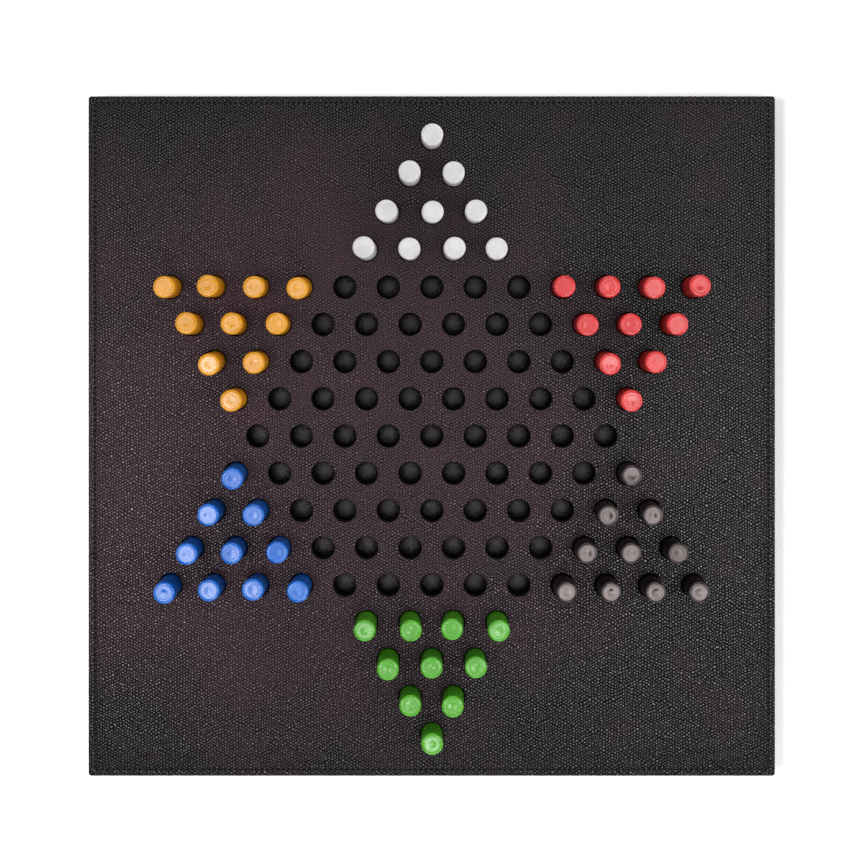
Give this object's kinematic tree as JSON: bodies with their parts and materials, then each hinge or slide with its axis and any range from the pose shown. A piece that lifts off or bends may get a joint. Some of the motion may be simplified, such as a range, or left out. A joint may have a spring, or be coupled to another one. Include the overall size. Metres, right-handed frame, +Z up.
{
  "type": "chinese checkers board",
  "caption": "Square leather-covered game board with a star of drilled peg holes and lacquered pegs in six colours that lift out.",
  "frame": {"origin": "centre of the board's underside, on the surface it lies on", "axes": "+Z up out of the playing face, +X towards the red and black arms, +Y towards the white arm"},
  "size_m": [0.4, 0.396, 0.0439],
  "materials": {
    "black_leather": "satin",
    "charcoal_suede": "matte",
    "black_fibreboard": "matte",
    "white_lacquer": "gloss",
    "orange_lacquer": "gloss",
    "red_lacquer": "gloss",
    "blue_lacquer": "gloss",
    "black_lacquer": "gloss",
    "green_lacquer": "gloss"
  },
  "bodies": {
    "board": {"top_leather": "black_leather", "hole_panel": "black_fibreboard", "hole_floor_suede": "charcoal_suede", "base_panel": "black_fibreboard", "edge_band": "black_leather", "underside_suede": "charcoal_suede"},
    "white_peg_02": {"white_peg_02": "white_lacquer"},
    "white_peg_03": {"white_peg_03": "white_lacquer"},
    "white_peg_04": {"white_peg_04": "white_lacquer"},
    "white_peg_05": {"white_peg_05": "white_lacquer"},
    "white_peg_06": {"white_peg_06": "white_lacquer"},
    "white_peg_07": {"white_peg_07": "white_lacquer"},
    "white_peg_08": {"white_peg_08": "white_lacquer"},
    "white_peg_09": {"white_peg_09": "white_lacquer"},
    "white_peg_10": {"white_peg_10": "white_lacquer"},
    "orange_peg_02": {"orange_peg_02": "orange_lacquer"},
    "orange_peg_03": {"orange_peg_03": "orange_lacquer"},
    "orange_peg_04": {"orange_peg_04": "orange_lacquer"},
    "orange_peg_05": {"orange_peg_05": "orange_lacquer"},
    "orange_peg_06": {"orange_peg_06": "orange_lacquer"},
    "orange_peg_07": {"orange_peg_07": "orange_lacquer"},
    "orange_peg_08": {"orange_peg_08": "orange_lacquer"},
    "orange_peg_09": {"orange_peg_09": "orange_lacquer"},
    "orange_peg_10": {"orange_peg_10": "orange_lacquer"},
    "red_peg_02": {"red_peg_02": "red_lacquer"},
    "red_peg_03": {"red_peg_03": "red_lacquer"},
    "red_peg_04": {"red_peg_04": "red_lacquer"},
    "red_peg_05": {"red_peg_05": "red_lacquer"},
    "red_peg_06": {"red_peg_06": "red_lacquer"},
    "red_peg_07": {"red_peg_07": "red_lacquer"},
    "red_peg_08": {"red_peg_08": "red_lacquer"},
    "red_peg_09": {"red_peg_09": "red_lacquer"},
    "red_peg_10": {"red_peg_10": "red_lacquer"},
    "blue_peg_02": {"blue_peg_02": "blue_lacquer"},
    "blue_peg_03": {"blue_peg_03": "blue_lacquer"},
    "blue_peg_04": {"blue_peg_04": "blue_lacquer"},
    "blue_peg_05": {"blue_peg_05": "blue_lacquer"},
    "blue_peg_06": {"blue_peg_06": "blue_lacquer"},
    "blue_peg_07": {"blue_peg_07": "blue_lacquer"},
    "blue_peg_08": {"blue_peg_08": "blue_lacquer"},
    "blue_peg_09": {"blue_peg_09": "blue_lacquer"},
    "blue_peg_10": {"blue_peg_10": "blue_lacquer"},
    "black_peg_02": {"black_peg_02": "black_lacquer"},
    "black_peg_03": {"black_peg_03": "black_lacquer"},
    "black_peg_04": {"black_peg_04": "black_lacquer"},
    "black_peg_05": {"black_peg_05": "black_lacquer"},
    "black_peg_06": {"black_peg_06": "black_lacquer"},
    "black_peg_07": {"black_peg_07": "black_lacquer"},
    "black_peg_08": {"black_peg_08": "black_lacquer"},
    "black_peg_09": {"black_peg_09": "black_lacquer"},
    "black_peg_10": {"black_peg_10": "black_lacquer"},
    "green_peg_02": {"green_peg_02": "green_lacquer"},
    "green_peg_03": {"green_peg_03": "green_lacquer"},
    "green_peg_04": {"green_peg_04": "green_lacquer"},
    "green_peg_05": {"green_peg_05": "green_lacquer"},
    "green_peg_06": {"green_peg_06": "green_lacquer"},
    "green_peg_07": {"green_peg_07": "green_lacquer"},
    "green_peg_08": {"green_peg_08": "green_lacquer"},
    "green_peg_09": {"green_peg_09": "green_lacquer"},
    "green_peg_10": {"green_peg_10": "green_lacquer"}
  },
  "joints": [
    {"name": "white_peg_02_lift", "type": "slide", "parent": "board", "child": "white_peg_02", "axis": [0, 0, 1], "range_m": [0, 0.04]},
    {"name": "white_peg_03_lift", "type": "slide", "parent": "board", "child": "white_peg_03", "axis": [0, 0, 1], "range_m": [0, 0.04]},
    {"name": "white_peg_04_lift", "type": "slide", "parent": "board", "child": "white_peg_04", "axis": [0, 0, 1], "range_m": [0, 0.04]},
    {"name": "white_peg_05_lift", "type": "slide", "parent": "board", "child": "white_peg_05", "axis": [0, 0, 1], "range_m": [0, 0.04]},
    {"name": "white_peg_06_lift", "type": "slide", "parent": "board", "child": "white_peg_06", "axis": [0, 0, 1], "range_m": [0, 0.04]},
    {"name": "white_peg_07_lift", "type": "slide", "parent": "board", "child": "white_peg_07", "axis": [0, 0, 1], "range_m": [0, 0.04]},
    {"name": "white_peg_08_lift", "type": "slide", "parent": "board", "child": "white_peg_08", "axis": [0, 0, 1], "range_m": [0, 0.04]},
    {"name": "white_peg_09_lift", "type": "slide", "parent": "board", "child": "white_peg_09", "axis": [0, 0, 1], "range_m": [0, 0.04]},
    {"name": "white_peg_10_lift", "type": "slide", "parent": "board", "child": "white_peg_10", "axis": [0, 0, 1], "range_m": [0, 0.04]},
    {"name": "orange_peg_02_lift", "type": "slide", "parent": "board", "child": "orange_peg_02", "axis": [0, 0, 1], "range_m": [0, 0.04]},
    {"name": "orange_peg_03_lift", "type": "slide", "parent": "board", "child": "orange_peg_03", "axis": [0, 0, 1], "range_m": [0, 0.04]},
    {"name": "orange_peg_04_lift", "type": "slide", "parent": "board", "child": "orange_peg_04", "axis": [0, 0, 1], "range_m": [0, 0.04]},
    {"name": "orange_peg_05_lift", "type": "slide", "parent": "board", "child": "orange_peg_05", "axis": [0, 0, 1], "range_m": [0, 0.04]},
    {"name": "orange_peg_06_lift", "type": "slide", "parent": "board", "child": "orange_peg_06", "axis": [0, 0, 1], "range_m": [0, 0.04]},
    {"name": "orange_peg_07_lift", "type": "slide", "parent": "board", "child": "orange_peg_07", "axis": [0, 0, 1], "range_m": [0, 0.04]},
    {"name": "orange_peg_08_lift", "type": "slide", "parent": "board", "child": "orange_peg_08", "axis": [0, 0, 1], "range_m": [0, 0.04]},
    {"name": "orange_peg_09_lift", "type": "slide", "parent": "board", "child": "orange_peg_09", "axis": [0, 0, 1], "range_m": [0, 0.04]},
    {"name": "orange_peg_10_lift", "type": "slide", "parent": "board", "child": "orange_peg_10", "axis": [0, 0, 1], "range_m": [0, 0.04]},
    {"name": "red_peg_02_lift", "type": "slide", "parent": "board", "child": "red_peg_02", "axis": [0, 0, 1], "range_m": [0, 0.04]},
    {"name": "red_peg_03_lift", "type": "slide", "parent": "board", "child": "red_peg_03", "axis": [0, 0, 1], "range_m": [0, 0.04]},
    {"name": "red_peg_04_lift", "type": "slide", "parent": "board", "child": "red_peg_04", "axis": [0, 0, 1], "range_m": [0, 0.04]},
    {"name": "red_peg_05_lift", "type": "slide", "parent": "board", "child": "red_peg_05", "axis": [0, 0, 1], "range_m": [0, 0.04]},
    {"name": "red_peg_06_lift", "type": "slide", "parent": "board", "child": "red_peg_06", "axis": [0, 0, 1], "range_m": [0, 0.04]},
    {"name": "red_peg_07_lift", "type": "slide", "parent": "board", "child": "red_peg_07", "axis": [0, 0, 1], "range_m": [0, 0.04]},
    {"name": "red_peg_08_lift", "type": "slide", "parent": "board", "child": "red_peg_08", "axis": [0, 0, 1], "range_m": [0, 0.04]},
    {"name": "red_peg_09_lift", "type": "slide", "parent": "board", "child": "red_peg_09", "axis": [0, 0, 1], "range_m": [0, 0.04]},
    {"name": "red_peg_10_lift", "type": "slide", "parent": "board", "child": "red_peg_10", "axis": [0, 0, 1], "range_m": [0, 0.04]},
    {"name": "blue_peg_02_lift", "type": "slide", "parent": "board", "child": "blue_peg_02", "axis": [0, 0, 1], "range_m": [0, 0.04]},
    {"name": "blue_peg_03_lift", "type": "slide", "parent": "board", "child": "blue_peg_03", "axis": [0, 0, 1], "range_m": [0, 0.04]},
    {"name": "blue_peg_04_lift", "type": "slide", "parent": "board", "child": "blue_peg_04", "axis": [0, 0, 1], "range_m": [0, 0.04]},
    {"name": "blue_peg_05_lift", "type": "slide", "parent": "board", "child": "blue_peg_05", "axis": [0, 0, 1], "range_m": [0, 0.04]},
    {"name": "blue_peg_06_lift", "type": "slide", "parent": "board", "child": "blue_peg_06", "axis": [0, 0, 1], "range_m": [0, 0.04]},
    {"name": "blue_peg_07_lift", "type": "slide", "parent": "board", "child": "blue_peg_07", "axis": [0, 0, 1], "range_m": [0, 0.04]},
    {"name": "blue_peg_08_lift", "type": "slide", "parent": "board", "child": "blue_peg_08", "axis": [0, 0, 1], "range_m": [0, 0.04]},
    {"name": "blue_peg_09_lift", "type": "slide", "parent": "board", "child": "blue_peg_09", "axis": [0, 0, 1], "range_m": [0, 0.04]},
    {"name": "blue_peg_10_lift", "type": "slide", "parent": "board", "child": "blue_peg_10", "axis": [0, 0, 1], "range_m": [0, 0.04]},
    {"name": "black_peg_02_lift", "type": "slide", "parent": "board", "child": "black_peg_02", "axis": [0, 0, 1], "range_m": [0, 0.04]},
    {"name": "black_peg_03_lift", "type": "slide", "parent": "board", "child": "black_peg_03", "axis": [0, 0, 1], "range_m": [0, 0.04]},
    {"name": "black_peg_04_lift", "type": "slide", "parent": "board", "child": "black_peg_04", "axis": [0, 0, 1], "range_m": [0, 0.04]},
    {"name": "black_peg_05_lift", "type": "slide", "parent": "board", "child": "black_peg_05", "axis": [0, 0, 1], "range_m": [0, 0.04]},
    {"name": "black_peg_06_lift", "type": "slide", "parent": "board", "child": "black_peg_06", "axis": [0, 0, 1], "range_m": [0, 0.04]},
    {"name": "black_peg_07_lift", "type": "slide", "parent": "board", "child": "black_peg_07", "axis": [0, 0, 1], "range_m": [0, 0.04]},
    {"name": "black_peg_08_lift", "type": "slide", "parent": "board", "child": "black_peg_08", "axis": [0, 0, 1], "range_m": [0, 0.04]},
    {"name": "black_peg_09_lift", "type": "slide", "parent": "board", "child": "black_peg_09", "axis": [0, 0, 1], "range_m": [0, 0.04]},
    {"name": "black_peg_10_lift", "type": "slide", "parent": "board", "child": "black_peg_10", "axis": [0, 0, 1], "range_m": [0, 0.04]},
    {"name": "green_peg_02_lift", "type": "slide", "parent": "board", "child": "green_peg_02", "axis": [0, 0, 1], "range_m": [0, 0.04]},
    {"name": "green_peg_03_lift", "type": "slide", "parent": "board", "child": "green_peg_03", "axis": [0, 0, 1], "range_m": [0, 0.04]},
    {"name": "green_peg_04_lift", "type": "slide", "parent": "board", "child": "green_peg_04", "axis": [0, 0, 1], "range_m": [0, 0.04]},
    {"name": "green_peg_05_lift", "type": "slide", "parent": "board", "child": "green_peg_05", "axis": [0, 0, 1], "range_m": [0, 0.04]},
    {"name": "green_peg_06_lift", "type": "slide", "parent": "board", "child": "green_peg_06", "axis": [0, 0, 1], "range_m": [0, 0.04]},
    {"name": "green_peg_07_lift", "type": "slide", "parent": "board", "child": "green_peg_07", "axis": [0, 0, 1], "range_m": [0, 0.04]},
    {"name": "green_peg_08_lift", "type": "slide", "parent": "board", "child": "green_peg_08", "axis": [0, 0, 1], "range_m": [0, 0.04]},
    {"name": "green_peg_09_lift", "type": "slide", "parent": "board", "child": "green_peg_09", "axis": [0, 0, 1], "range_m": [0, 0.04]},
    {"name": "green_peg_10_lift", "type": "slide", "parent": "board", "child": "green_peg_10", "axis": [0, 0, 1], "range_m": [0, 0.04]}
  ]
}
